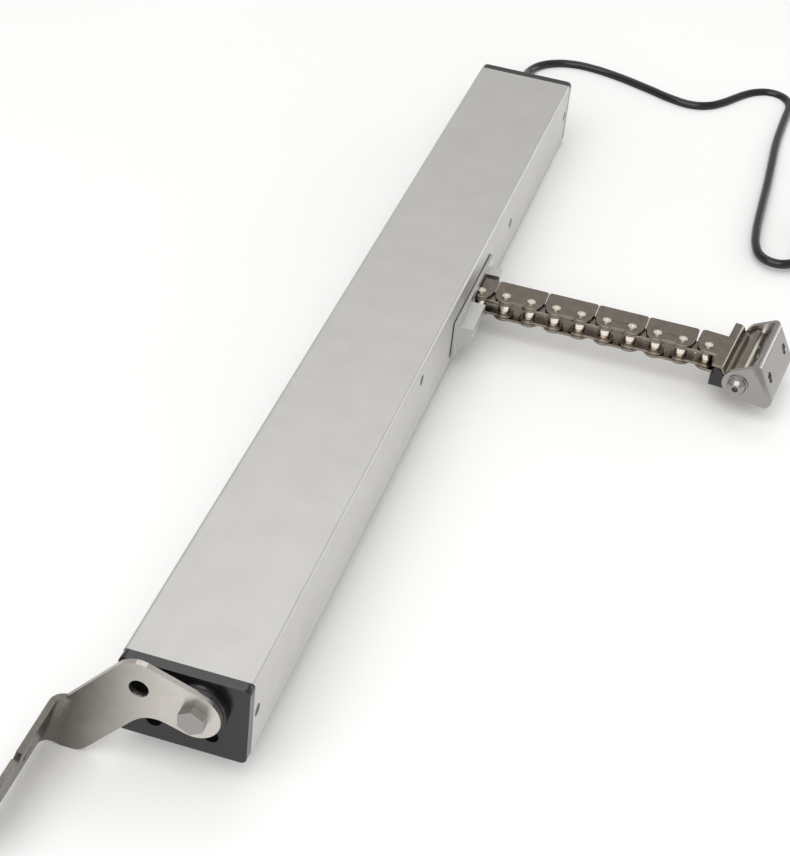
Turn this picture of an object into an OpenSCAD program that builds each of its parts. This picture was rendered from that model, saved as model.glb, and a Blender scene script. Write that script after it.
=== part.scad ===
// Chain opener arm: an electric push-chain opener in a long aluminium tube.
// X runs along the tube, the chain leaves towards -Y, Z is up, and the origin is
// the centre of the tube's underside. All lengths are in millimetres.

/* [Housing] */
// Length of the aluminium tube between the end caps
tube_l = 518; // [500:2:530]
// Thickness of the tube's wall
wall = 2; // [1.6:0.1:2.2]
// Thickness of an end cap outside the tube
cap_t = 5; // [4:0.5:6]

/* [Chain] */
// Radius of a link's round front lobe
lobe_r = 5.3; // [5:0.1:5.6]
// Thickness of an outer link plate
plate_t = 1.4; // [1.2:0.05:1.4]

/* [Mounting arm] */
// Angle that the arm is raised about its pivot bolt
arm_tilt = 17; // [5:1:30]
// Thickness of the arm's steel plate
arm_t = 2.5; // [2:0.1:2.5]
// Length of the arm's foot beyond its plate
foot_l = 66; // [56:1:80]

/* [Window bracket] */
// Angle that the end fitting is turned on the chain's last pin
end_yaw = 5.5; // [0:0.5:8]
// Angle that the bracket's face looks upwards
bracket_tilt = 28; // [0:1:40]
// Height of the bracket's base
bracket_h = 22.3; // [20:0.1:24]

/* [Power lead] */
// Diameter of the power lead
cord_d = 5; // [4.5:0.1:5]
// Turns of the stored coil laid side by side
coil_wide = 3; // [2:1:3]

/* [Hidden] */
body_w = 52;
body_h = 37;
half_w = body_w / 2;
half_l = tube_l / 2 + cap_t;
tube_end = tube_l / 2;

// chain: pins along -Y on the line x = pin_x, mid height chain_z
pitch = 12.7;
pin_x = 59;
chain_z = 14;
pin_0 = -42.2;
back_x = 12.9;
link_end = 6.2;
waist = 1.1;
pin_r = 1.8;
head_r = 2.1;
bush_r = 3.15;
bush_bore = 1.86;
inner_in = 2.8;
inner_out = 4.1;
outer_in = 4.2;
outer_out = outer_in + plate_t;
head_h = 0.7;
stored_links = 16;

// sprocket, worm wheel and worm
teeth = 6;
wheel_x = pin_x - pitch;
wheel_y = pin_0 + 3 * pitch;
stored_x = wheel_x - pitch / 2;
stored_y = wheel_y + pitch;
shaft_r = 3;
wheel_teeth = 19;
lead = 4;
wheel_r = wheel_teeth * lead / (2 * PI);
worm_r = 4.3;
worm_y = wheel_y + wheel_r + worm_r + 0.3;
worm_z = 27.5;
worm_len = 22;
worm_x = wheel_x - 2.75 * lead;
motor_y = 5.5;
motor_z = 18.7;
gear_x = 96;

// chain guide
guide_x = [18, 86];
channel_x = [53, 72.7];
channel_z = [7, 21];
guide_screw_x = [30, 77];
guide_screw_y = -20.8;
jaw_y = -34.6;
jaw_top = 20;

// end fitting and window bracket, laid out straight and then turned on the last pin
pin_8 = pin_0 - 8 * pitch;
barrel_y = -163.4;
barrel_r = 4.2;
barrel_x = [44.4, 86.2];
// near ends of the upper and the lower wing, and the wings' back edges
wing_x = [44.8, 47.9];
wing_back = -149.3;
flat_end = -152.8;
bend_r = 1.6;
knuckle_end = 92;
bracket_x = [41.85, 88.75];
bracket_t = 2.5;
bracket_reach = 13.3;
bracket_drop = 3.5;
bracket_holes = [-13.75, 13.75];
bracket_hole_r = 2.7;
screw_r = 2.5;
washer_t = 0.9;
head_t = 3.3;

// blind recesses in the near cap's face
recess_y = 11.4;
recess_z = 9.5;

// arm pivot
bolt_y = -6.8;
bolt_z = 24;
bolt_r = 3;
spacer_t = 4;
gap = 0.05;
arm_x = -half_l - spacer_t - gap;
foot_u = [48.3, 50.8];
foot_v = [-49.6, -23.6];
foot_holes = [-24, 12 - foot_l];
foot_bend = 5;
arm_fillet = 12;
arm_fillet_at = [8.55, -22.5];

// power lead: [x, y, z] of the middle of the lead, then the coil beyond it
gland_y = 8;
gland_z = 14;
gland_end = 284;
cord_route = [
    [284, 8, 14], [292, 8.4, 13.6], [300, 9.2, 12], [309, 10.4, 9], [318, 11.6, 5.8],
    [327, 12.2, 3.6], [336, 11.4, 2.6], [345, 7.4, 2.5], [352, 0, 2.5], [356, -10, 2.5],
    [356.4, -22, 2.5], [353, -39, 2.5], [346, -59, 2.5], [339, -77, 2.5],
    [337.2, -88, 2.5], [340.4, -97.4, 2.5], [348.4, -105.4, 2.5], [358, -111.6, 2.5],
    [366.2, -117.2, 2.5], [372.2, -123.2, 2.5], [375.2, -130.4, 2.5], [374, -137.4, 2.5],
    [369, -142.4, 2.5], [361.4, -144.4, 2.5], [350, -144.2, 2.5], [335, -143.8, 2.5],
    [312, -143.6, 2.5], [285, -144.8, 2.5], [258, -146, 2.5], [238, -146.6, 2.5],
    [220, -147.2, 2.5], [204, -148.2, 2.5], [191, -150.2, 2.5], [181.6, -154.6, 2.5],
    [178.2, -162, 2.5], [180.6, -169.2, 2.5], [187.6, -174.6, 2.5], [197, -177, 2.5],
    [207, -177.5, 2.5], [215, -177.5, 2.5]];
coil_r = 5.5 * cord_d;
coil_x = 232;
coil_y = -210;
connector_turn = 70;

// ---- shared shapes ----

// rectangle with exact round corners, centred on x and standing on y = 0
module round_rect(w, h, r) {
    translate([-w / 2 + r, 0]) square([w - 2 * r, h]);
    translate([-w / 2, r]) square([w, h - 2 * r]);
    for (x = [-w / 2 + r, w / 2 - r], y = [r, h - r]) translate([x, y]) circle(r, $fn = 32);
}

// an outline drawn in Y and Z, extruded along X from x0
module along_x(x0, l) {
    translate([x0, 0, 0]) rotate([90, 0, 90]) linear_extrude(l) children();
}

// round bar along X
module bar_x(x0, x1, y, z, r, sides = 48) {
    translate([x0, y, z]) rotate([0, 90, 0]) cylinder(h = x1 - x0, r = r, $fn = sides);
}

// round bar along Z
module bar_z(x, y, z0, z1, r) {
    translate([x, y, z0]) cylinder(h = z1 - z0, r = r, $fn = 48);
}

module block(x, y, z) {
    translate([x[0], y[0], z[0]]) cube([x[1] - x[0], y[1] - y[0], z[1] - z[0]]);
}

// ---- chain ----

function pin_y(i) = pin_0 - i * pitch;

// outer plate: round lobes at the front, a straight back that stops backward bending
module outer_plate_2d() {
    difference() {
        union() {
            for (i = [0, 1]) translate([0, -i * pitch]) circle(lobe_r, $fn = 48);
            translate([waist - lobe_r, -pitch]) square([lobe_r, pitch]);
            polygon([[0, lobe_r], [3, link_end], [back_x - 1, link_end], [back_x, link_end - 1],
                     [back_x, 1 - pitch - link_end], [back_x - 1, -pitch - link_end],
                     [3, -pitch - link_end], [0, -pitch - lobe_r]]);
        }
        for (i = [0, 1]) translate([0, -i * pitch]) circle(pin_r, $fn = 32);
    }
}

module inner_plate_2d() {
    difference() {
        union() {
            for (i = [0, 1]) translate([0, -i * pitch]) circle(lobe_r - 0.2, $fn = 48);
            translate([waist - lobe_r, -pitch]) square([2 * (lobe_r - waist), pitch]);
        }
        for (i = [0, 1]) translate([0, -i * pitch]) circle(bush_r, $fn = 32);
    }
}

module outer_pair() {
    for (z = [outer_in, -outer_out]) translate([0, 0, z]) linear_extrude(plate_t) outer_plate_2d();
}

module inner_pair() {
    for (z = [inner_in, -inner_out])
        translate([0, 0, z]) linear_extrude(inner_out - inner_in) inner_plate_2d();
}

// riveted pin with a dimpled head at each end
module rivet_pin() {
    difference() {
        union() {
            translate([0, 0, -outer_out]) cylinder(h = 2 * outer_out, r = pin_r, $fn = 32);
            for (s = [-1, 1]) translate([0, 0, s * (outer_out + head_h / 2)])
                cylinder(h = head_h, r = head_r, center = true, $fn = 32);
        }
        for (s = [-1, 1]) translate([0, 0, s * (outer_out + head_h)])
            cylinder(h = 0.8, r = 0.9, center = true, $fn = 24);
    }
}

module bush() {
    difference() {
        cylinder(h = 2 * inner_out, r = bush_r, center = true, $fn = 32);
        cylinder(h = 4 * inner_out, r = bush_bore, center = true, $fn = 32);
    }
}

// places its children at pin i of the straight run
module at_pin(i) { translate([pin_x, pin_y(i), chain_z]) children(); }

// places its children at pin j of the stored run, turned to lie along X
module at_stored(j) { translate([stored_x - j * pitch, stored_y, chain_z]) rotate(90) children(); }

module link_plates(k) {
    color("silver") at_pin(k - 1) if (k % 2 == 1) outer_pair(); else inner_pair();
}

module link_pins(k) { color("gray") for (i = [k - 1, k]) at_pin(i) rivet_pin(); }

module link_bushes(k) { color("lightgray") for (i = [k - 1, k]) at_pin(i) bush(); }

module run_plates() {
    color("silver") {
        for (i = [-3, -1]) at_pin(i) inner_pair();
        at_pin(-2) outer_pair();
    }
}

module run_pins() { color("gray") for (i = [-2, -1]) at_pin(i) rivet_pin(); }

module run_bushes() { color("lightgray") for (i = [-3:0]) at_pin(i) bush(); }

module stored_plates() {
    color("silver") for (j = [1:stored_links])
        at_stored(j) if (j % 2 == 0) outer_pair(); else inner_pair();
}

module stored_pins() { color("gray") for (j = [1:stored_links]) at_stored(j) rivet_pin(); }

module stored_bushes() { color("lightgray") for (j = [0:stored_links]) at_stored(j) bush(); }

// ---- housing ----

module housing_tube() {
    color("gainsboro") difference() {
        along_x(-tube_end, tube_l) difference() {
            round_rect(body_w, body_h, 1.5);
            translate([0, wall]) round_rect(body_w - 2 * wall, body_h - 2 * wall, 0.8);
        }
        block([guide_x[0] + 5, guide_x[1] - 4], [-half_w - 1, wall - half_w + 0.5], [6, 23]);
        side_screws(r_head = 2.7, head = 1.2, r_shank = 1.65);
        cap_screw_set(r_head = 2.7, head = 1.2, r_shank = 1.65);
    }
}

// an M3 screw through the side wall; s is the side it enters from
module side_screw(x, z, s, r_head, head, r_shank) {
    translate([x, s * half_w, z]) rotate([s * 90, 0, 0]) {
        cylinder(h = head, r = r_head, $fn = 32);
        cylinder(h = 7, r = r_shank, $fn = 32);
    }
}

module cap_screw_set(r_head, head, r_shank) {
    for (x = [-tube_end + 4.5, tube_end - 4.5], s = [-1, 1])
        side_screw(x, 20, s, r_head, head, r_shank);
}

module side_screws(r_head, head, r_shank) {
    side_screw(-38, 28.3, -1, r_head, head, r_shank);
    side_screw(131, 17.7, -1, r_head, head, r_shank);
}

module cap_screws() { color("dimgray") cap_screw_set(r_head = 2.6, head = 1.2, r_shank = 1.5); }

module chassis_screws() { color("dimgray") side_screws(r_head = 2.6, head = 1.2, r_shank = 1.5); }

// end cap: a plate over the tube's end and a hollow plug inside it
module end_cap() {
    difference() {
        union() {
            along_x(-half_l, cap_t) round_rect(body_w, body_h, 2.5);
            along_x(-tube_end, 9) translate([0, wall + 0.1]) difference() {
                round_rect(body_w - 2 * wall - 0.2, body_h - 2 * wall - 0.2, 0.8);
                translate([0, 4]) round_rect(body_w - 2 * wall - 12, body_h - 2 * wall - 8.2, 0.8);
            }
            bar_x(-tube_end - 1, -tube_end + 9, bolt_y, bolt_z, 7);
        }
        bar_x(-half_l - 1, -tube_end + 10, bolt_y, bolt_z, 4);
        cap_screw_set(r_head = 1.5, head = 1.2, r_shank = 1.5);
    }
}

module near_cap() {
    color("black") difference() {
        end_cap();
        for (y = [-recess_y, recess_y]) bar_x(-half_l - 1, -half_l + 3, y, recess_z, 3.2);
    }
}

module far_cap() {
    color("black") difference() {
        mirror([1, 0, 0]) end_cap();
        bar_x(tube_end - 10, half_l + 1, gland_y, gland_z, 5);
    }
}

// brass M6 inserts in both caps; the core is the thread's inner radius
module bolt_inserts() {
    color("goldenrod") for (s = [0, 1]) mirror([s, 0, 0]) difference() {
        bar_x(-half_l, -tube_end + 9, bolt_y, bolt_z, 4);
        bar_x(-half_l - 1, -tube_end + 10, bolt_y, bolt_z, 2.5);
    }
}

module pivot_bolt() {
    head_x = arm_x - arm_t - gap;
    color("silver") {
        bar_x(head_x - 4, head_x, bolt_y, bolt_z, 5.77, 6);
        bar_x(head_x - 0.01, -half_l, bolt_y, bolt_z, bolt_r);
        bar_x(-half_l - 0.01, -tube_end + 6, bolt_y, bolt_z, 2.5);
    }
}

module spacer_washer() {
    color("black") difference() {
        bar_x(-half_l - spacer_t, -half_l, bolt_y, bolt_z, 11.5);
        bar_x(-half_l - spacer_t - 1, -half_l + 1, bolt_y, bolt_z, bolt_r);
    }
}

// ---- mounting arm ----

// flat outline in the arm's own plane: u along the arm, v across it
module arm_outline() {
    union() {
        hull() {
            circle(10.5, $fn = 32);
            translate([23.5, 0.5]) circle(11, $fn = 32);
        }
        hull() {
            translate([23.5, 0.5]) circle(11, $fn = 32);
            translate([41, -38.9]) circle(10.7, $fn = 32);
        }
        translate([41, foot_v[0]]) square([foot_u[0] - 41 - foot_bend, foot_v[1] - foot_v[0]]);
        // round inner corner between the two stretches
        difference() {
            polygon([arm_fillet_at, [arm_fillet_at[0], -10.3], [20, -9], [22, -17.3],
                     [19.52, -17.63]]);
            translate(arm_fillet_at) circle(arm_fillet, $fn = 64);
        }
    }
}

// the foot in u and X: a quarter bend, then straight
module foot_section() {
    r_in = foot_bend;
    r_out = r_in + arm_t;
    u_c = foot_u[0] - r_in;
    translate([u_c, -r_out]) intersection() {
        difference() {
            circle(r_out, $fn = 48);
            circle(r_in, $fn = 48);
        }
        square(r_out + 1);
    }
    translate([foot_u[0], -foot_l]) square([arm_t, foot_l - r_out]);
}

module mounting_arm() {
    color("silver") translate([arm_x, bolt_y, bolt_z]) rotate([arm_tilt, 0, 0]) difference() {
        union() {
            along_x(-arm_t, arm_t) arm_outline();
            // foot section drawn with u on X and world X on Y, extruded across v
            intersection() {
                translate([0, 0, foot_v[0]]) linear_extrude(foot_v[1] - foot_v[0])
                    rotate(90) mirror([0, 1]) foot_section();
                translate([0, 60, 0]) rotate([90, 0, 0]) linear_extrude(20) foot_side();
            }
        }
        along_x(-arm_t - 1, arm_t + 2) {
            circle(bolt_r + gap, $fn = 48);
            translate([22.7, -0.6]) circle(4, $fn = 48);
        }
        for (x = foot_holes) translate([x, 40, (foot_v[0] + foot_v[1]) / 2])
            rotate([-90, 0, 0]) cylinder(h = 20, r = 3.25, $fn = 48);
    }
}

// the foot's outline in X and v: rounded end corners and a small notch in its top edge
module foot_side() {
    difference() {
        union() {
            translate([8 - foot_l, foot_v[0]]) square([foot_l - 8, foot_v[1] - foot_v[0]]);
            translate([-foot_l, foot_v[0] + 8]) square([foot_l, foot_v[1] - foot_v[0] - 16]);
            for (v = [foot_v[0] + 8, foot_v[1] - 8])
                translate([8 - foot_l, v]) circle(8, $fn = 32);
        }
        translate([-39.5, foot_v[1] - 4]) square([4, 6]);
    }
}

// ---- chain guide and chassis ----

module chain_guide() {
    color("lightgray") difference() {
        union() {
            block(guide_x, [-half_w - 2, -half_w], [5, 24.5]);
            block([guide_x[0] + 5.1, guide_x[1] - 4.1], [-half_w - 0.1, -19], [6.1, 22.9]);
            for (x = [[23, 47], [74.5, 82]]) along_x(x[0], x[1] - x[0]) jaw_2d();
        }
        block(channel_x, [-36, -18], channel_z);
        for (x = guide_screw_x) bar_z(x, guide_screw_y, 6, 12, 1.5);
    }
}

// a jaw's side outline: square on top, tapered below
module jaw_2d() {
    polygon([[-half_w - 1.9, 5], [jaw_y, jaw_top - 6.5], [jaw_y, jaw_top], [-half_w - 1.9, jaw_top]]);
}

module guide_screws() {
    color("dimgray") for (x = guide_screw_x) {
        bar_z(x, guide_screw_y, wall + 0.01, 3, 2.2);
        bar_z(x, guide_screw_y, 2.9, 11, 1.5);
    }
}

module chassis() {
    color("silver") difference() {
        union() {
            block([-205, 92], [-23.2, 23.2], [wall, wall + 1.5]);
            block([-48, -28], [-23.9, -17], [wall + 1, 33]);
            for (x = guide_screw_x) block([x - 5, x + 4], [-23.2, -18.4], [wall, 6]);
        }
        for (x = guide_screw_x) {
            bar_z(x, guide_screw_y, 0, 3, 2.3);
            bar_z(x, guide_screw_y, 0, 7, 1.6);
        }
        bar_z(wheel_x, wheel_y, 0, 5, 5);
        side_screws(r_head = 1.5, head = 1.2, r_shank = 1.5);
    }
}

module chain_rail() {
    color("white") {
        block([-195, 32], [1.6, 23.2], [wall + 1.5, 7.3]);
        block([-195, 32], [22, 23.2], [7.3, 20]);
        block([-195, 32], [1.6, 2.7], [7.3, 16]);
    }
}

module bearing_bridge() {
    color("silver") difference() {
        union() {
            block([28, 81], [-17, 19], [33, 34.8]);
            block([28, 34], [-17, -11], [wall + 1.5, 33]);
            block([75, 81], [-17, -11], [wall + 1.5, 33]);
        }
        bar_z(wheel_x, wheel_y, 32, 36, 5);
    }
}

module shaft_bushes() {
    color("peru") for (z = [[wall, 3.5], [33, 34.8]]) difference() {
        bar_z(wheel_x, wheel_y, z[0], z[1], 5);
        bar_z(wheel_x, wheel_y, z[0] - 1, z[1] + 1, shaft_r + gap);
    }
}

// ---- drive ----

module drive_shaft() { color("gray") bar_z(wheel_x, wheel_y, wall + 0.1, 34.7, shaft_r); }

module sprocket() {
    color("dimgray") translate([wheel_x, wheel_y, 0]) difference() {
        union() {
            translate([0, 0, chain_z - 2.6]) linear_extrude(5.2) difference() {
                circle(11.6, $fn = 64);
                for (k = [0:teeth - 1]) rotate(k * 360 / teeth)
                    translate([pitch, 0]) circle(3.45, $fn = 32);
            }
            translate([0, 0, chain_z + 2.5]) cylinder(h = 8.9, r = 4.8, $fn = 48);
        }
        cylinder(h = 40, r = shaft_r, $fn = 48);
    }
}

module worm_wheel() {
    wave = 0.6;
    n = wheel_teeth * 8;
    color("tan") translate([wheel_x, wheel_y, worm_z - 2]) difference() {
        linear_extrude(4) polygon([for (i = [0:n - 1])
            let (a = i * 360 / n, r = wheel_r - wave * cos(wheel_teeth * (a - 90)))
            [r * cos(a), r * sin(a)]]);
        translate([0, 0, -1]) cylinder(h = 6, r = shaft_r, $fn = 48);
    }
}

// single-start worm: an eccentric round swept along a right-handed helix
module worm_shaft() {
    color("gray") {
        translate([worm_x, worm_y, worm_z]) rotate([0, 90, 0])
            linear_extrude(worm_len, twist = -360 * worm_len / lead, slices = 55)
            translate([0.7, 0]) circle(worm_r, $fn = 16);
        bar_x(worm_x + worm_len - 0.01, gear_x + 6, worm_y, worm_z, 2.5);
        bar_x(worm_x - 4, worm_x + 0.01, worm_y, worm_z, 2.5);
    }
}

module gearbox_case() {
    color("gray") difference() {
        bar_x(gear_x, gear_x + 34, motor_y, motor_z, 16);
        bar_x(gear_x - 1, gear_x + 8, worm_y, worm_z, 2.5 + gap);
    }
}

module motor_can() {
    color("silver") bar_x(gear_x + 34, gear_x + 84, motor_y, motor_z, 14);
}

module motor_end_bell() {
    color("black") {
        bar_x(gear_x + 84, gear_x + 90, motor_y, motor_z, 13.6);
        for (y = [-8, 8]) block([gear_x + 90, gear_x + 95], [motor_y + y - 1.5, motor_y + y + 1.5],
                                [motor_z - 0.4, motor_z + 0.4]);
    }
}

module motor_saddle() {
    color("silver") difference() {
        block([gear_x + 28, gear_x + 42], [-23.9, motor_y], [wall + 1, 33.4]);
        bar_x(gear_x + 27, gear_x + 34, motor_y, motor_z, 16);
        bar_x(gear_x + 33.9, gear_x + 43, motor_y, motor_z, 14);
        side_screws(r_head = 1.5, head = 1.2, r_shank = 1.5);
    }
}

module circuit_board() {
    x0 = gear_x + 100;
    color("seagreen") {
        block([x0, x0 + 50], [-20, 20], [6, 7.6]);
        for (x = [x0 + 4, x0 + 46], y = [-16, 16]) bar_z(x, y, wall, 6.01, 2.5);
        block([x0 + 8, x0 + 26], [-12, 0], [7.59, 20]);
        block([x0 + 34, x0 + 42], [-12, 10], [7.59, 17]);
        for (y = [8, 15]) bar_z(x0 + 16, y, 7.59, 19, 3);
    }
}

module limit_switches() {
    color("black") for (x = [-180, 4]) {
        block([x, x + 20], [-8, -1.5], [wall + 1.5, 13.5]);
        block([x + 3, x + 18], [-1.51, -0.9], [9, 12]);
    }
}

// ---- end fitting and window bracket ----

// T plate: a tongue on the last pin and a bar across the hinge barrel
module t_plate_2d(bar_from) {
    difference() {
        union() {
            circle(lobe_r, $fn = 48);
            polygon([[0, lobe_r], [3, link_end], [back_x - 1, link_end], [back_x, link_end - 1],
                     [back_x, wing_back - 1.2 - pin_8], [barrel_x[1] - pin_x - 0.4, wing_back - 1.2 - pin_8],
                     [barrel_x[1] - pin_x - 0.4, flat_end - pin_8], [bar_from - pin_x, flat_end - pin_8],
                     [bar_from - pin_x, wing_back - pin_8], [-lobe_r, wing_back - pin_8], [-lobe_r, 0]]);
        }
        circle(pin_r, $fn = 32);
    }
}

function arc_points(centre, r, a0, a1, n) =
    [for (i = [0:n]) let (a = a0 + (a1 - a0) * i / n) centre + r * [cos(a), sin(a)]];

// the T plate's edge: bent down, up again and over the barrel, which is centred on the origin
module knuckle_2d() {
    start = [flat_end - barrel_y, outer_in - bend_r];
    crest = barrel_r + gap;
    // the middle bend touches the first one and the one over the barrel
    reach_1 = 2 * bend_r + plate_t;
    reach_2 = bend_r + crest + plate_t;
    span = norm(start);
    along = (reach_1 ^ 2 - reach_2 ^ 2 + span ^ 2) / (2 * span);
    side = sqrt(reach_1 ^ 2 - along ^ 2);
    mid = start - along * start / span + side * [-start[1], start[0]] / span;
    a_1 = atan2(mid[1] - start[1], mid[0] - start[0]);
    a_2 = atan2(mid[1], mid[0]);
    polygon(concat(
        [[start[0] + 1, outer_out]],
        arc_points(start, bend_r + plate_t, 90, a_1, 8),
        arc_points(mid, bend_r, 180 + a_1, 180 + a_2, 10),
        arc_points([0, 0], crest + plate_t, a_2 + 1, knuckle_end, 9),
        arc_points([0, 0], crest, knuckle_end, a_2 + 1, 9),
        arc_points(mid, bend_r + plate_t, 180 + a_2, 180 + a_1, 10),
        arc_points(start, bend_r, a_1 - 1, 90, 8),
        [[start[0] + 1, outer_in]]));
}

// turns its children on the last pin
module turned_end() {
    translate([pin_x, pin_8, 0]) rotate(-end_yaw) translate([-pin_x, -pin_8, 0]) children();
}

// both T plates; each is rolled over the barrel
module end_plates() {
    color("silver") turned_end() for (k = [0, 1]) translate([0, 0, chain_z])
        mirror([0, 0, k]) {
            translate([pin_x, pin_8, outer_in]) linear_extrude(plate_t) t_plate_2d(wing_x[k]);
            translate([0, barrel_y, 0]) along_x(wing_x[k], barrel_x[1] - 0.4 - wing_x[k]) knuckle_2d();
        }
}

module end_pin() { color("gray") at_pin(8) rivet_pin(); }

// black filler between the T plates, narrowing where they bend towards the barrel
module end_block() {
    half = outer_in - gap;
    wide = flat_end - barrel_y;
    back = wide + 2.1;
    lip = wing_back - barrel_y;
    color("black") turned_end() translate([0, barrel_y, chain_z]) {
        along_x(wing_x[0], barrel_x[1] - 0.4 - wing_x[0])
            polygon([[back, half], [wide, half], [wide - 1.5, 2.6], [wide - 2.9, 0.8],
                     [6.8, 0.5], [6.8, -0.5], [wide - 2.9, -0.8],
                     [wide - 1.5, -2.6], [wide, -half], [back, -half]]);
        along_x(wing_x[0], wing_x[1] - wing_x[0] - 0.1)
            polygon([[lip, -6.2], [6.4, -6.2], [6.4, 0], [lip, 0]]);
    }
}

module hinge_barrel() {
    color("silver") turned_end() difference() {
        bar_x(barrel_x[0], barrel_x[1], barrel_y, chain_z, barrel_r);
        bar_x(barrel_x[0] - 1, barrel_x[0] + 12, barrel_y, chain_z, screw_r);
        bar_x(barrel_x[1] - 12, barrel_x[1] + 1, barrel_y, chain_z, screw_r);
    }
}

// M5 screws, one from each side: a washer, a domed head with a hexagon socket, a shank
module bracket_screws() {
    mid = (barrel_x[0] + barrel_x[1]) / 2;
    x = mid - bracket_x[0];
    color("silver") turned_end() for (s = [0, 1]) translate([mid, barrel_y, chain_z]) mirror([s, 0, 0]) {
        translate([-x, 0, 0]) difference() {
            rotate([0, -90, 0]) union() {
                cylinder(h = washer_t, r = 5.3, $fn = 48);
                rotate_extrude($fn = 64) intersection() {
                    translate([0, washer_t - 0.97]) circle(4.85, $fn = 96);
                    square([4.75, washer_t + head_t]);
                }
            }
            bar_x(-washer_t - head_t - 1, -washer_t - 0.6, 0, 0, 1.73, 6);
        }
        bar_x(-x - 0.01, -x + 13, 0, 0, screw_r);
    }
}

// side outline of an ear: round at the pivot, widening to the base
module ear_2d() {
    hull() {
        circle(7.5, $fn = 32);
        for (z = [3 - bracket_h / 2, bracket_h / 2 - 3])
            translate([3 - bracket_reach, z - bracket_drop]) circle(3, $fn = 24);
    }
}

// the U seen from above, with rounded bends
module bracket_plan() {
    w = bracket_x[1] - bracket_x[0];
    difference() {
        union() {
            translate([0, -bracket_reach + 4]) square([w, 20]);
            translate([4, -bracket_reach]) square([w - 8, 20]);
            for (x = [4, w - 4]) translate([x, -bracket_reach + 4]) circle(4, $fn = 48);
        }
        translate([bracket_t, -bracket_reach + 4]) square([w - 2 * bracket_t, 30]);
        translate([4, -bracket_reach + bracket_t]) square([w - 8, 30]);
        for (x = [4, w - 4]) translate([x, -bracket_reach + 4]) circle(1.5, $fn = 48);
    }
}

module window_bracket() {
    w = bracket_x[1] - bracket_x[0];
    color("lightgray") turned_end() translate([bracket_x[0], barrel_y, chain_z])
        rotate([-bracket_tilt, 0, 0]) difference() {
            intersection() {
                along_x(-1, w + 2) ear_2d();
                translate([0, 0, -20]) linear_extrude(40) bracket_plan();
            }
            bar_x(-2, w + 2, 0, 0, screw_r + gap);
            for (x = bracket_holes) translate([w / 2 + x, -bracket_reach - 1, -bracket_drop])
                rotate([-90, 0, 0]) cylinder(h = 8, r = bracket_hole_r, $fn = 48);
        }
}

// ---- power lead ----

module cable_gland() {
    color("black") {
        bar_x(tube_end - 4, half_l + 0.01, gland_y, gland_z, 5);
        bar_x(half_l, half_l + 2.5, gland_y, gland_z, 7);
        translate([half_l + 2.4, gland_y, gland_z]) rotate([0, 90, 0])
            cylinder(h = gland_end - half_l - 2.4, r1 = 5, r2 = 3.4, $fn = 32);
    }
}

function unit(v) = v / norm(v);

// direction of the route at point i
function heading(p, i) =
    i == 0 ? [1, 0, 0] : i == len(p) - 1 ? unit(p[i] - p[i - 1]) : unit(p[i + 1] - p[i - 1]);

// corners of the ring round point i
function ring(p, i, r, n) =
    let (t = heading(p, i), side = unit(cross([0, 0, 1], t)), up = cross(t, side))
    [for (a = [0:n - 1]) p[i] + r * (side * cos(a * 360 / n) + up * sin(a * 360 / n))];

module sweep(p, r, n) {
    m = len(p);
    polyhedron(
        points = [for (i = [0:m - 1]) each ring(p, i, r, n)],
        faces = concat(
            [[for (a = [0:n - 1]) a]],
            [for (i = [0:m - 2], a = [0:n - 1])
                [i * n + a, (i + 1) * n + a, (i + 1) * n + (a + 1) % n, i * n + (a + 1) % n]],
            [[for (a = [n - 1:-1:0]) (m - 1) * n + a]]));
}

module cord_run() { color("black") sweep(cord_route, cord_d / 2, 10); }

// outer shape of the coil: turns side by side, in two layers
module cord_coil() {
    w = coil_wide * cord_d + 0.4;
    h = 2 * cord_d;
    color("black") translate([coil_x, coil_y, 0]) rotate_extrude($fn = 64)
        translate([coil_r - w / 2, 0]) square([w, h]);
}

// places its children in the coil's hole, turned to face the lead's end
module in_coil() { translate([coil_x, coil_y, 0]) rotate(connector_turn) children(); }

module connector() {
    color("white") in_coil() difference() {
        block([1 - 4.5, 1 + 4.5], [-16, 6], [0, 7.5]);
        for (x = [-1, 3]) bar_y(x, -17, -9, 3.75, 1.3);
    }
}

module bar_y(x, y0, y1, z, r) {
    translate([x, y0, z]) rotate([-90, 0, 0]) cylinder(h = y1 - y0, r = r, $fn = 32);
}

module connector_contacts() {
    color("goldenrod") in_coil() for (x = [-1, 3]) bar_y(x, -15, -9, 3.75, 0.8);
}

housing_tube();
near_cap();
far_cap();
cap_screws();
chassis_screws();
bolt_inserts();
pivot_bolt();
spacer_washer();
mounting_arm();
chain_guide();
guide_screws();
chassis();
chain_rail();
bearing_bridge();
shaft_bushes();
drive_shaft();
sprocket();
worm_wheel();
worm_shaft();
gearbox_case();
motor_can();
motor_end_bell();
motor_saddle();
circuit_board();
limit_switches();
stored_plates();
stored_pins();
stored_bushes();
run_plates();
run_pins();
run_bushes();
for (k = [1:8]) link_plates(k);
for (k = [1:2:7]) link_pins(k);
for (k = [2:2:8]) link_bushes(k);
end_plates();
end_pin();
end_block();
hinge_barrel();
bracket_screws();
window_bracket();
cable_gland();
cord_run();
cord_coil();
connector();
connector_contacts();
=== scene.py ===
import math

import bmesh
import bpy
from mathutils import Matrix, Vector


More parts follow.
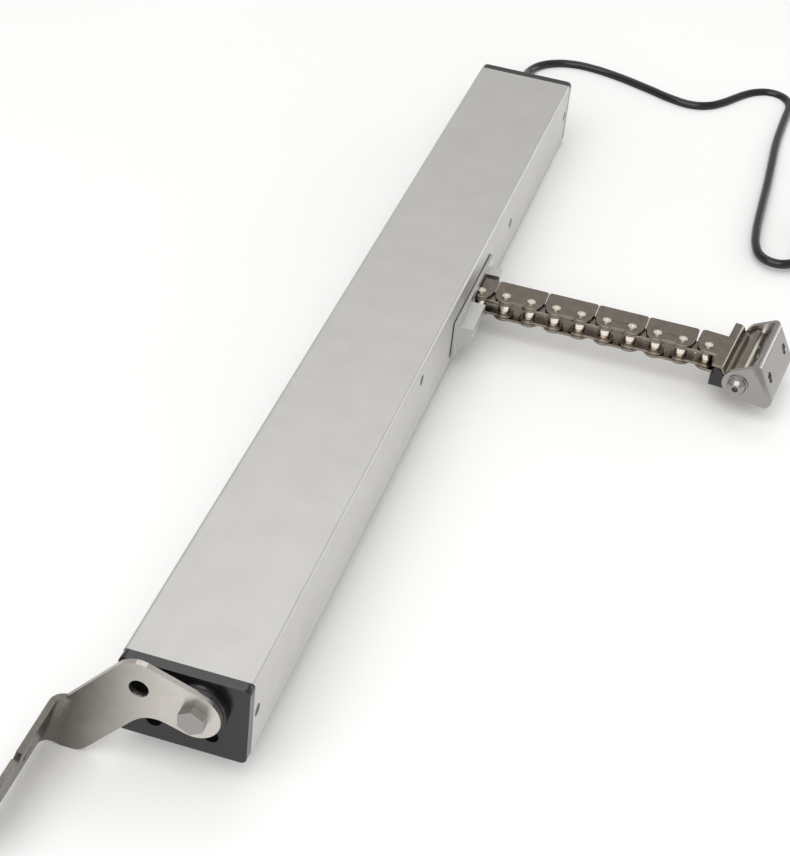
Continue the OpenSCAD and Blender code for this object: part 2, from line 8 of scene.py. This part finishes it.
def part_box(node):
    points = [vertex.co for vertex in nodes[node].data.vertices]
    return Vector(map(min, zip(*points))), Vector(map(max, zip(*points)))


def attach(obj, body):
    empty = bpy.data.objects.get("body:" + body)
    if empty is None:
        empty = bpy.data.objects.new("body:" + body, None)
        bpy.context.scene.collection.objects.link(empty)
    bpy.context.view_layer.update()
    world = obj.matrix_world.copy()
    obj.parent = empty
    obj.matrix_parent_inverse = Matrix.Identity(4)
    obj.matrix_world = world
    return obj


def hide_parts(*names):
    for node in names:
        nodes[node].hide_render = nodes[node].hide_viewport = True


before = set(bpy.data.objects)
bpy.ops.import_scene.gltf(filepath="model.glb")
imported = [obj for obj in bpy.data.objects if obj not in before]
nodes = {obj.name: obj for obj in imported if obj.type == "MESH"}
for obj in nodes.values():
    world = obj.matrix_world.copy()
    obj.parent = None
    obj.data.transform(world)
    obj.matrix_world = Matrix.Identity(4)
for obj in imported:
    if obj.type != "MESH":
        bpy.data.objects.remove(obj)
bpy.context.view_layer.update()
scene = bpy.context.scene
mm = 0.001
print("frame loaded:", len(nodes), "CAD nodes")

cameraView = {
    "azimuth": -77.0,
    "elevation": 36.8,
    "roll": 6.5,
    "distance": 934.8,
    "target": (-40.6, -16.7, 0.0),
    "lens": 85.1,
}


def makeCamera(view):
    azimuth, elevation, roll = (math.radians(view[k]) for k in ("azimuth", "elevation", "roll"))
    back = Vector((math.sin(azimuth) * math.cos(elevation),
                   -math.cos(azimuth) * math.cos(elevation),
                   math.sin(elevation)))
    level = Vector((math.cos(azimuth), math.sin(azimuth), 0))
    rise = back.cross(level)
    right = math.cos(roll) * level + math.sin(roll) * rise
    up = back.cross(right)
    place = Vector(view["target"]) * mm + back * view["distance"] * mm
    data = bpy.data.cameras.new("studioCamera")
    data.lens = view["lens"]
    data.clip_start = 0.01
    camera = bpy.data.objects.new("studioCamera", data)
    turn = Matrix((right, up, back)).transposed().to_4x4()
    camera.matrix_world = Matrix.Translation(place) @ turn
    scene.collection.objects.link(camera)
    scene.camera = camera


makeCamera(cameraView)

# the lead's middle line in millimetres, then a coil wound slot by slot
lead = {
    "diameter": 5.0,
    "length": 1500.0,
    "route": [
        (284, 8, 14), (292, 8.4, 13.6), (300, 9.2, 12), (309, 10.4, 9), (318, 11.6, 5.8),
        (327, 12.2, 3.6), (336, 11.4, 2.6), (345, 7.4, 2.5), (352, 0, 2.5),
        (356, -10, 2.5), (356.4, -22, 2.5), (353, -39, 2.5), (346, -59, 2.5),
        (339, -77, 2.5), (337.2, -88, 2.5), (340.4, -97.4, 2.5), (348.4, -105.4, 2.5),
        (358, -111.6, 2.5), (366.2, -117.2, 2.5), (372.2, -123.2, 2.5),
        (375.2, -130.4, 2.5), (374, -137.4, 2.5), (369, -142.4, 2.5), (361.4, -144.4, 2.5),
        (350, -144.2, 2.5), (335, -143.8, 2.5), (312, -143.6, 2.5), (285, -144.8, 2.5),
        (258, -146, 2.5), (238, -146.6, 2.5), (220, -147.2, 2.5), (204, -148.2, 2.5),
        (191, -150.2, 2.5), (181.6, -154.6, 2.5), (178.2, -162, 2.5), (180.6, -169.2, 2.5),
        (187.6, -174.6, 2.5), (197, -177, 2.5), (207, -177.5, 2.5), (215, -177.5, 2.5)],
    "coilCentre": (232.0, -210.0),
    # (radius, height) of each turn: out, up, in, down, in, up
    "slots": [(32.5, 2.5), (32.5, 7.5), (27.5, 7.5), (27.5, 2.5), (22.5, 2.5), (22.5, 7.5)],
    "turnAngle": 336.0,
    "changeAngle": 30.0,
    "stepAngle": 12.0,
    "connectorTurn": 70.0,
    "connectorEnd": (1.0, 6.0),
    "tailRadius": 11.0,
    # (angle, height) round the tail's bend, down to the connector
    "tail": [(150, 7.5), (125, 7.5), (100, 6.8), (75, 5.8), (50, 4.8), (25, 4.0), (0, 3.75)],
}


def smoothStep(t):
    t = min(max(t, 0.0), 1.0)
    return t * t * (3 - 2 * t)


def coilPoints(spec):
    # clockwise from the north side; each turn moves to the next slot over its last stretch
    cx, cy = spec["coilCentre"]
    points = []
    steps = round(spec["turnAngle"] / spec["stepAngle"])
    for n, (radius, height) in enumerate(spec["slots"]):
        nextRadius, nextHeight = spec["slots"][min(n + 1, len(spec["slots"]) - 1)]
        for i in range(steps):
            gone = i * spec["stepAngle"]
            t = smoothStep((gone - spec["turnAngle"] + spec["changeAngle"]) / spec["changeAngle"])
            r = radius + (nextRadius - radius) * t
            z = height + (nextHeight - height) * t
            angle = math.radians(90 - n * spec["turnAngle"] - gone)
            points.append((cx + r * math.cos(angle), cy + r * math.sin(angle), z))
    return points


def tailPoints(spec):
    # a loose U from the inner turn down into the connector
    cx, cy = spec["coilCentre"]
    turn = math.radians(spec["connectorTurn"])
    ux, uy = spec["connectorEnd"]
    radius = spec["tailRadius"]
    points = []
    for a, z in spec["tail"]:
        angle = math.radians(a)
        points.append((ux - radius + radius * math.cos(angle), uy + radius * math.sin(angle), z))
    return [(cx + x * math.cos(turn) - y * math.sin(turn),
             cy + x * math.sin(turn) + y * math.cos(turn), z) for x, y, z in points]


def curvePiece(name, points, radius):
    data = bpy.data.curves.new(name, "CURVE")
    data.dimensions = "3D"
    data.bevel_depth = 1.0  # the points' own radius sets the thickness
    data.bevel_resolution = 5
    data.use_fill_caps = True
    spline = data.splines.new("BEZIER")
    spline.bezier_points.add(len(points) - 1)
    for knot, p in zip(spline.bezier_points, points):
        knot.co = Vector(p) * mm
        knot.handle_left_type = knot.handle_right_type = "AUTO"
        knot.radius = radius * mm
    spline.resolution_u = 4
    piece = bpy.data.objects.new(name, data)
    scene.collection.objects.link(piece)
    return piece


leadPoints = lead["route"] + coilPoints(lead) + tailPoints(lead)
powerLead = curvePiece("power_lead", leadPoints, lead["diameter"] / 2)
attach(powerLead, "housing")
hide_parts("cord_run", "cord_coil")
print("lead laid:", len(leadPoints), "points")

def srgb(code):
    # sRGB hex to linear
    parts = [int(code[i:i + 2], 16) / 255 for i in (0, 2, 4)]
    return tuple(p / 12.92 if p <= 0.04045 else ((p + 0.055) / 1.055) ** 2.4 for p in parts) + (1,)


def addNode(tree, kind, inputs=None, **settings):
    node = tree.nodes.new(kind)
    for key, value in settings.items():
        setattr(node, key, value)
    for key, value in (inputs or {}).items():
        if isinstance(value, bpy.types.NodeSocket):
            tree.links.new(value, node.inputs[key])
        else:
            node.inputs[key].default_value = value
    return node


def startMaterial(name, **values):
    # a Principled shader with its plain values, and object coordinates in metres
    material = bpy.data.materials.new(name)
    material.use_nodes = True
    tree = material.node_tree
    shader = tree.nodes["Principled BSDF"]
    for key, value in values.items():
        shader.inputs[key.replace("_", " ")].default_value = value
    place = addNode(tree, "ShaderNodeTexCoord").outputs["Object"]
    return material, tree, shader, place


def grain(tree, place, size, stretch=(1, 1, 1), detail=3.0, rough=0.55):
    # noise whose features are about size millimetres, longer along a stretched axis
    scaled = addNode(tree, "ShaderNodeMapping", {"Vector": place,
                     "Scale": tuple(1 / (size * mm * s) for s in stretch)})
    noise = addNode(tree, "ShaderNodeTexNoise", {"Vector": scaled.outputs["Vector"], "Scale": 1.0,
                    "Detail": detail, "Roughness": rough})
    return noise.outputs["Fac"]


def dressSurface(tree, shader, colour, roughness=None, relief=None, span=(0.3, 0.7)):
    # colour: pattern, dark, light; roughness: pattern, low, high; relief: pattern, mm, strength
    pattern, *tones = colour
    ramp = addNode(tree, "ShaderNodeValToRGB", {"Fac": pattern})
    for end, position, code in zip(ramp.color_ramp.elements, span, tones):
        end.position = position
        end.color = srgb(code)
    tree.links.new(ramp.outputs["Color"], shader.inputs["Base Color"])
    if roughness:
        pattern, low, high = roughness
        polish = addNode(tree, "ShaderNodeMapRange", {"Value": pattern, "From Min": 0.3,
                         "From Max": 0.7, "To Min": low, "To Max": high})
        tree.links.new(polish.outputs["Result"], shader.inputs["Roughness"])
    if relief:
        pattern, depth, strength = relief
        bump = addNode(tree, "ShaderNodeBump", {"Height": pattern, "Distance": depth * mm,
                       "Strength": strength})
        tree.links.new(bump.outputs["Normal"], shader.inputs["Normal"])


def anodisedAluminium():
    # extruded, etched and clear anodised: satin, with faint die lines along the tube
    material, tree, shader, place = startMaterial("anodisedAluminium", Metallic=1.0)
    lines = grain(tree, place, 0.35, stretch=(260, 1, 1))
    cloud = grain(tree, place, 18, detail=2.0)
    etch = grain(tree, place, 0.25)  # real etching is finer; this is coarse enough to show
    both = addNode(tree, "ShaderNodeMath", {0: lines, 1: etch}, operation="ADD")
    dressSurface(tree, shader, (cloud, "cbcac8", "d0cfcd"), (lines, 0.40, 0.47),
                 (both.outputs[0], 0.006, 0.5))
    return material


def milledAluminium():
    # machined block: bright, with cutter marks about 0.3 mm apart
    material, tree, shader, place = startMaterial("milledAluminium", Metallic=1.0)
    marks = grain(tree, place, 0.3, stretch=(20, 1, 1), detail=2.0)
    dressSurface(tree, shader, (marks, "cfcfce", "dadad8"), (marks, 0.3, 0.36),
                 (marks, 0.004, 0.25))
    return material


def tumbledSteelPaintedShade():
    # pressed stainless plate, tumbled: soft grey, with painted shade that darkens it away from the
    # bolt
    material, tree, shader, place = startMaterial("tumbledSteelPaintedShade", Metallic=1.0)
    scuff = grain(tree, place, 0.5, detail=5.0)
    cloud = grain(tree, place, 14, detail=3.0)
    across = addNode(tree, "ShaderNodeSeparateXYZ", {"Vector": place}).outputs["Y"]
    # painted shade: darker with Y away from the bolt, standing in for shading on the plate
    paintedShadeAlongY = addNode(tree, "ShaderNodeMapRange", {"Value": across, "From Min": 0.006,
                      "From Max": 0.045, "To Min": 0.0, "To Max": 0.8}).outputs["Result"]
    mixed = addNode(tree, "ShaderNodeMath", {0: cloud, 1: 0.35}, operation="MULTIPLY")
    paintedShadeAndCloud = addNode(tree, "ShaderNodeMath", {0: paintedShadeAlongY, 1: mixed.outputs[0]}, operation="ADD")
    # light d0ccc6 to dark 7c7872; the dark end carries the painted shade, the cloud adds random
    # tone
    dressSurface(tree, shader, (paintedShadeAndCloud.outputs[0], "d0ccc6", "7c7872"), (scuff, 0.24, 0.38),
                 (scuff, 0.008, 0.4), span=(0.1, 1.0))
    return material


def brushedSteel():
    # stainless bracket, its screws and the arm's bolt: neutral grey, faintly brushed along X
    material, tree, shader, place = startMaterial("brushedSteel", Metallic=1.0)
    brush = grain(tree, place, 0.22, stretch=(60, 1, 1))
    dressSurface(tree, shader, (brush, "989694", "a4a2a0"), (brush, 0.2, 0.27), (brush, 0.004, 0.2))
    return material


def nickelPlate():
    # stamped plates, barrel nickel plated: warm grey, semi-bright and finely mottled
    material, tree, shader, place = startMaterial("nickelPlate", Metallic=1.0)
    mottle = grain(tree, place, 0.6, detail=3.0)
    cloud = grain(tree, place, 5, detail=2.0)
    dressSurface(tree, shader, (cloud, "80786f", "8e857b"), (mottle, 0.15, 0.22),
                 (mottle, 0.004, 0.15))
    return material


def brightNickel():
    # turned pins, bushes, barrel and shaft: brighter and smoother than the plates
    material, tree, shader, place = startMaterial("brightNickel", Metallic=1.0)
    turning = grain(tree, place, 0.3, detail=2.0)
    dressSurface(tree, shader, (turning, "eee7dc", "f6efe4"), (turning, 0.12, 0.22),
                 (turning, 0.004, 0.4))
    return material


def mouldedAbs():
    # injection-moulded ABS, spark-eroded fine grain
    material, tree, shader, place = startMaterial("mouldedAbs", IOR=1.54)
    sparks = grain(tree, place, 0.3, detail=2.0)
    dressSurface(tree, shader, (sparks, "131315", "1b1b1c"), (sparks, 0.14, 0.22),
                 (sparks, 0.008, 0.25))
    return material


def extrudedPvc():
    # soft PVC lead sheath, drawn through a die: semi-gloss
    material, tree, shader, place = startMaterial("extrudedPvc", IOR=1.53)
    flow = grain(tree, place, 1.2, detail=2.0)
    dressSurface(tree, shader, (flow, "040405", "09090a"), (flow, 0.13, 0.19), (flow, 0.02, 0.2))
    return material


def zincPlate():
    # bright zinc plate with a faint blue and yellow passivation
    material, tree, shader, place = startMaterial("zincPlate", Metallic=1.0)
    cloud = grain(tree, place, 6, detail=3.0)
    dressSurface(tree, shader, (cloud, "a9adb3", "c2bfae"), (cloud, 0.25, 0.38))
    return material


def oiledSteel():
    # black-oxide screws and gears, lightly oiled
    material, tree, shader, place = startMaterial("oiledSteel", Metallic=1.0)
    oxide = grain(tree, place, 0.6, detail=3.0)
    dressSurface(tree, shader, (oxide, "2b2b2d", "3d3c3b"), (oxide, 0.3, 0.42))
    return material


def turnedBrass():
    # free-cutting brass straight from the lathe
    material, tree, shader, place = startMaterial("turnedBrass", Metallic=1.0)
    turning = grain(tree, place, 0.2, detail=2.0)
    dressSurface(tree, shader, (turning, "b8934a", "cda95d"), (turning, 0.2, 0.3))
    return material


def naturalNylon():
    # undyed moulded nylon: waxy off-white
    material, tree, shader, place = startMaterial("naturalNylon", IOR=1.53)
    cloud = grain(tree, place, 3, detail=2.0)
    dressSurface(tree, shader, (cloud, "dcd8c9", "e8e5da"), (cloud, 0.38, 0.48))
    return material


def boardLacquer():
    # glass-epoxy board under green solder lacquer
    material, tree, shader, place = startMaterial("boardLacquer", IOR=1.5)
    weave = grain(tree, place, 0.8, detail=1.0)
    dressSurface(tree, shader, (weave, "0c4a2b", "14603a"), (weave, 0.22, 0.3))
    return material


finishes = {
    "anodised": anodisedAluminium(),
    "milled": milledAluminium(),
    "tumbled": tumbledSteelPaintedShade(),
    "brushed": brushedSteel(),
    "nickel": nickelPlate(),
    "bright": brightNickel(),
    "abs": mouldedAbs(),
    "pvc": extrudedPvc(),
    "zinc": zincPlate(),
    "oiled": oiledSteel(),
    "brass": turnedBrass(),
    "nylon": naturalNylon(),
    "board": boardLacquer(),
}

# finish and edge round in millimetres for the CAD nodes
nodeLooks = {
    "anodised": {"housing_tube": 0},
    "milled": {"chain_guide": 0.35, "motor_saddle": 0.2},
    "tumbled": {"mounting_arm": 0.4},
    "brushed": {"window_bracket": 0.4, "bracket_screws": 0.12, "pivot_bolt": 0.3},
    "nickel": {"end_plates": 0.3, "run_plates": 0.3, "stored_plates": 0},
    "bright": {"hinge_barrel": 0.2, "end_pin": 0.15, "run_pins": 0.15,
               "run_bushes": 0.1, "stored_pins": 0, "stored_bushes": 0, "drive_shaft": 0.2},
    "abs": {"near_cap": 1.3, "far_cap": 1.3, "spacer_washer": 0.4, "end_block": 0.3,
            "motor_end_bell": 0.3, "limit_switches": 0.3, "cable_gland": 0.3},
    "zinc": {"chassis": 0.2, "bearing_bridge": 0.2, "gearbox_case": 0.5, "motor_can": 0.8},
    "oiled": {"cap_screws": 0.1, "chassis_screws": 0.1, "guide_screws": 0.1, "sprocket": 0.2,
              "worm_shaft": 0},
    "brass": {"bolt_inserts": 0.1, "shaft_bushes": 0.1, "worm_wheel": 0, "connector_contacts": 0},
    "nylon": {"chain_rail": 0.3, "connector": 0.4},
    "board": {"circuit_board": 0.2},
}
for k in range(1, 9):
    nodeLooks["nickel"][f"link_{k}_plates"] = 0.3
    nodeLooks["bright"][f"link_{k}_pins" if k % 2 else f"link_{k}_bushes"] = 0.15


def setFinish(piece, finish):
    piece.data.materials.clear()
    piece.data.materials.append(finishes[finish])


edgeRound = {"joinGap": 0.002, "segments": 2, "sharpAngle": 35}


def roundEdges(piece, width):
    weld = piece.modifiers.new("joined", "WELD")
    weld.merge_threshold = edgeRound["joinGap"] * mm
    bevel = piece.modifiers.new("edgeRound", "BEVEL")
    bevel.width = width * mm
    bevel.segments = edgeRound["segments"]
    bevel.limit_method = "ANGLE"
    bevel.angle_limit = math.radians(edgeRound["sharpAngle"])
    bevel.harden_normals = True
    bevel.use_clamp_overlap = True


for finish, members in nodeLooks.items():
    for name, width in members.items():
        setFinish(nodes[name], finish)
        if width:
            roundEdges(nodes[name], width)
setFinish(powerLead, "pvc")
print("finishes set")

def meshPiece(name, verts, faces, body, finish, crease=None):
    # verts in millimetres; faces are turned outward
    mesh = bpy.data.meshes.new(name)
    mesh.from_pydata([Vector(v) * mm for v in verts], [], faces)
    work = bmesh.new()
    work.from_mesh(mesh)
    bmesh.ops.recalc_face_normals(work, faces=work.faces)
    work.to_mesh(mesh)
    work.free()
    if crease:
        mesh.shade_smooth()
        mesh.set_sharp_from_angle(angle=math.radians(crease))
    piece = bpy.data.objects.new(name, mesh)
    scene.collection.objects.link(piece)
    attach(piece, body)
    setFinish(piece, finish)
    return piece


def turned(profile, place, sides=48):
    # a closed outline of (x, radius) turned about the line along X through place (y, z)
    y0, z0 = place
    verts, faces = [], []
    for x, r in profile:
        for k in range(sides):
            a = 2 * math.pi * k / sides
            verts.append((x, y0 + r * math.cos(a), z0 + r * math.sin(a)))
    rings = len(profile)
    for i in range(rings):
        j = (i + 1) % rings
        for k in range(sides):
            n = (k + 1) % sides
            faces.append((i * sides + k, i * sides + n, j * sides + n, j * sides + k))
    return verts, faces


strainRelief = {
    "length": 20.0,
    "hole": 2.45,
    "plug": 4.9,
    "flange": 7.0,
    "flangeThick": 2.5,
    "chamfer": 0.6,
    "root": 5.0,
    "tip": 3.4,
    "ribs": 6,
    "ribStart": 3.4,
    "ribPitch": 2.6,
    "grooveWidth": 0.9,
    "grooveDepth": 0.8,
}


def makeStrainRelief(spec):
    # moulded sleeve: a flange on the cap, then a taper cut into flexing ribs
    low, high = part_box("cable_gland")
    x0, x1 = low.x / mm, high.x / mm
    face = x1 - spec["length"]
    hole, plug, flange, cut = (spec[k] for k in ("hole", "plug", "flange", "chamfer"))
    thick, pitch = spec["flangeThick"], spec["ribPitch"]
    outline = [(x0, hole), (x0, plug), (face, plug), (face, flange - cut), (face + cut, flange),
               (face + thick - cut, flange), (face + thick, flange - cut),
               (face + thick, spec["root"])]
    for k in range(spec["ribs"]):
        x = face + spec["ribStart"] + k * pitch
        r = spec["root"] + (spec["tip"] - spec["root"]) * (k + 1) / spec["ribs"]
        groove, deep = spec["grooveWidth"], spec["grooveDepth"]
        outline += [(x, r - deep), (x + groove, r - deep - 0.05), (x + groove + 0.1, r),
                    (x + pitch - 0.1, r - 0.05)]
    outline += [(x1 - 0.4, spec["tip"]), (x1, spec["tip"] - 0.4), (x1, hole)]
    verts, faces = turned(outline, ((low.y + high.y) / 2 / mm, (low.z + high.z) / 2 / mm))
    relief = meshPiece("strain_relief", verts, faces, "housing", "abs", 35)
    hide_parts("cable_gland")


coilTie = {
    "angle": -35.0,
    "width": 4.0,
    "thick": 0.7,
    "slack": 0.2,
    "corner": 2.2,
    "steps": 6,
    "headHalf": 3.2,
    "headSide": 0.7,
    # (height above the strap, growth) of the latch head's levels
    "head": [(-0.2, 0.0), (1.6, 0.0), (2.2, -0.6)],
}


def roundedLoop(x0, x1, z0, z1, corner, steps):
    loop = []
    corners = ((x1, z1, 0), (x0, z1, 90), (x0, z0, 180), (x1, z0, 270))
    for x, z, start in corners:
        cx = x - corner if x == x1 else x + corner
        cz = z - corner if z == z1 else z + corner
        for i in range(steps + 1):
            a = math.radians(start + 90 * i / steps)
            loop.append((cx + corner * math.cos(a), cz + corner * math.sin(a)))
    return loop


def frameFaces(count):
    # faces round a closed frame from its four loops: inner and outer, then the same again
    order = (0, 1, 3, 2)
    faces = []
    for a, b in zip(order, order[1:] + order[:1]):
        for i in range(count):
            j = (i + 1) % count
            faces.append((a * count + i, a * count + j, b * count + j, b * count + i))
    return faces


def makeCoilTie(spec, coil):
    # a black plastic strap round the turns, with its latch head on top
    radii = [r for r, _ in coil["slots"]]
    reach = coil["diameter"] / 2
    slack = spec["slack"]
    inside = (min(radii) - reach - slack, max(radii) + reach + slack, -slack / 2, 4 * reach + slack)
    t = spec["thick"]
    outside = (inside[0] - t, inside[1] + t, inside[2] - t, inside[3] + t)
    inner = roundedLoop(*inside, spec["corner"], spec["steps"])
    outer = roundedLoop(*outside, spec["corner"] + t, spec["steps"])
    half = spec["width"] / 2
    rings = [[(x, y, z) for x, z in loop] for y in (-half, half) for loop in (inner, outer)]
    verts = [v for ring in rings for v in ring]
    faces = frameFaces(len(inner))
    top = outside[3]
    mid = (inside[0] + inside[1]) / 2
    base = len(verts)
    for rise, grow in spec["head"]:
        for sx, sy in ((-1, -1), (1, -1), (1, 1), (-1, 1)):
            verts.append((mid + sx * (spec["headHalf"] + grow),
                          sy * (half + spec["headSide"] + grow), top + rise))
    for level in (0, 4):
        for i in range(4):
            j = (i + 1) % 4
            low, high = base + level, base + level + 4
            faces.append((low + i, low + j, high + j, high + i))
    faces += [(base, base + 1, base + 2, base + 3), (base + 8, base + 9, base + 10, base + 11)]
    turn = math.radians(spec["angle"])
    cx, cy = coil["coilCentre"]
    verts = [(cx + x * math.cos(turn) - y * math.sin(turn),
              cy + x * math.sin(turn) + y * math.cos(turn), z) for x, y, z in verts]
    meshPiece("coil_tie", verts, faces, "housing", "abs", 30)


# a black frame standing in for the shadow in the gap round the guide's flange
guideGapShade = {"proud": 0.45, "inset": 2.0, "thick": 0.4, "corner": 1.0, "steps": 4}


def makeGuideGapShade(spec):
    # thin black frame between the guide's flange and the tube, put in as painted shade for the
    # shadowed gap at that joint
    low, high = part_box("chain_guide")
    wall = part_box("housing_tube")[0].y / mm
    x0, x1 = low.x / mm, high.x / mm
    z0, z1 = low.z / mm, high.z / mm
    proud, inset = spec["proud"], spec["inset"]
    corner, steps = spec["corner"], spec["steps"]
    inner = roundedLoop(x0 + inset, x1 - inset, z0 + inset, z1 - inset, corner, steps)
    outer = roundedLoop(x0 - proud, x1 + proud, z0 - proud, z1 + proud, corner, steps)
    depths = (wall, wall - spec["thick"])
    verts = [(x, y, z) for y in depths for loop in (inner, outer) for x, z in loop]
    faces = frameFaces(len(inner))
    meshPiece("guide_gap_shade", verts, faces, "housing", "abs")


makeStrainRelief(strainRelief)
makeCoilTie(coilTie, lead)
makeGuideGapShade(guideGapShade)
print("fine pieces made")

studio = {
    "floorTones": ("f9f9f9", "fcfcfc"),
    "floorMottle": 300,
    "floorReach": 6.0,
    "armLow": (-271.0, 43.0, -11.6),
    "tubeFoot": (264.0, -26.0, -0.8),
    "coilFoot": (232.0, -245.0, -0.8),
    "skyTone": "fffefc",
    "horizon": 0.68,
    "zenith": 0.6,
    # each panel: place, aim, size and power in watts
    "panels": {
        "topPanel": ((-1.3, 0.1, 1.6), (0.0, -0.05, 0.0), (2.2, 2.2), 27),
        "ridgePanel": ((1.0, 0.25, 1.65), (0.0, 0.0, 0.0), (0.9, 0.9), 3.2),
        "edgePanel": ((1.3, -1.1, 0.45), (0.05, -0.05, 0.02), (0.9, 0.4), 2.4),
    },
}


def makeFloor(spec):
    # a plane through the arm's lowest corner, the tube's far foot and the coil
    a, b, c = (Vector(spec[k]) * mm for k in ("armLow", "tubeFoot", "coilFoot"))
    normal = (b - a).cross(c - a).normalized()
    if normal.z < 0:
        normal.negate()
    mesh = bpy.data.meshes.new("studioFloor")
    half = spec["floorReach"]
    corners = [(x, y, a.z - (normal.x * (x - a.x) + normal.y * (y - a.y)) / normal.z)
               for x, y in ((-half, -half), (half, -half), (half, half), (-half, half))]
    mesh.from_pydata(corners, [], [(0, 1, 2, 3)])
    floor = bpy.data.objects.new("studioFloor", mesh)
    scene.collection.objects.link(floor)
    material, tree, shader, place = startMaterial("paleFloor", Roughness=0.9)
    cloud = grain(tree, place, spec["floorMottle"])
    dressSurface(tree, shader, (cloud, *spec["floorTones"]))
    mesh.materials.append(material)


def makeSky(spec):
    # an even surround, a little darker overhead
    world = bpy.data.worlds.new("studioSky")
    scene.world = world
    world.use_nodes = True
    tree = world.node_tree
    way = addNode(tree, "ShaderNodeTexCoord").outputs["Generated"]
    height = addNode(tree, "ShaderNodeSeparateXYZ", {"Vector": way}).outputs["Z"]
    glow = addNode(tree, "ShaderNodeMapRange", {"Value": height, "From Min": 0.0, "From Max": 1.0,
                   "To Min": spec["horizon"], "To Max": spec["zenith"]}).outputs["Result"]
    backdrop = tree.nodes["Background"]
    tree.links.new(glow, backdrop.inputs["Strength"])
    backdrop.inputs["Color"].default_value = srgb(spec["skyTone"])


def softBox(name, place, aim, size, power):
    data = bpy.data.lights.new(name, "AREA")
    data.shape = "RECTANGLE"
    data.size, data.size_y = size
    data.energy = power
    light = bpy.data.objects.new(name, data)
    light.location = Vector(place)
    light.rotation_euler = (Vector(aim) - Vector(place)).to_track_quat("-Z", "Y").to_euler()
    scene.collection.objects.link(light)


scene.view_settings.view_transform = "Standard"
makeFloor(studio)
makeSky(studio)
for name, (place, aim, size, power) in studio["panels"].items():
    softBox(name, place, aim, size, power)
print("studio lit")
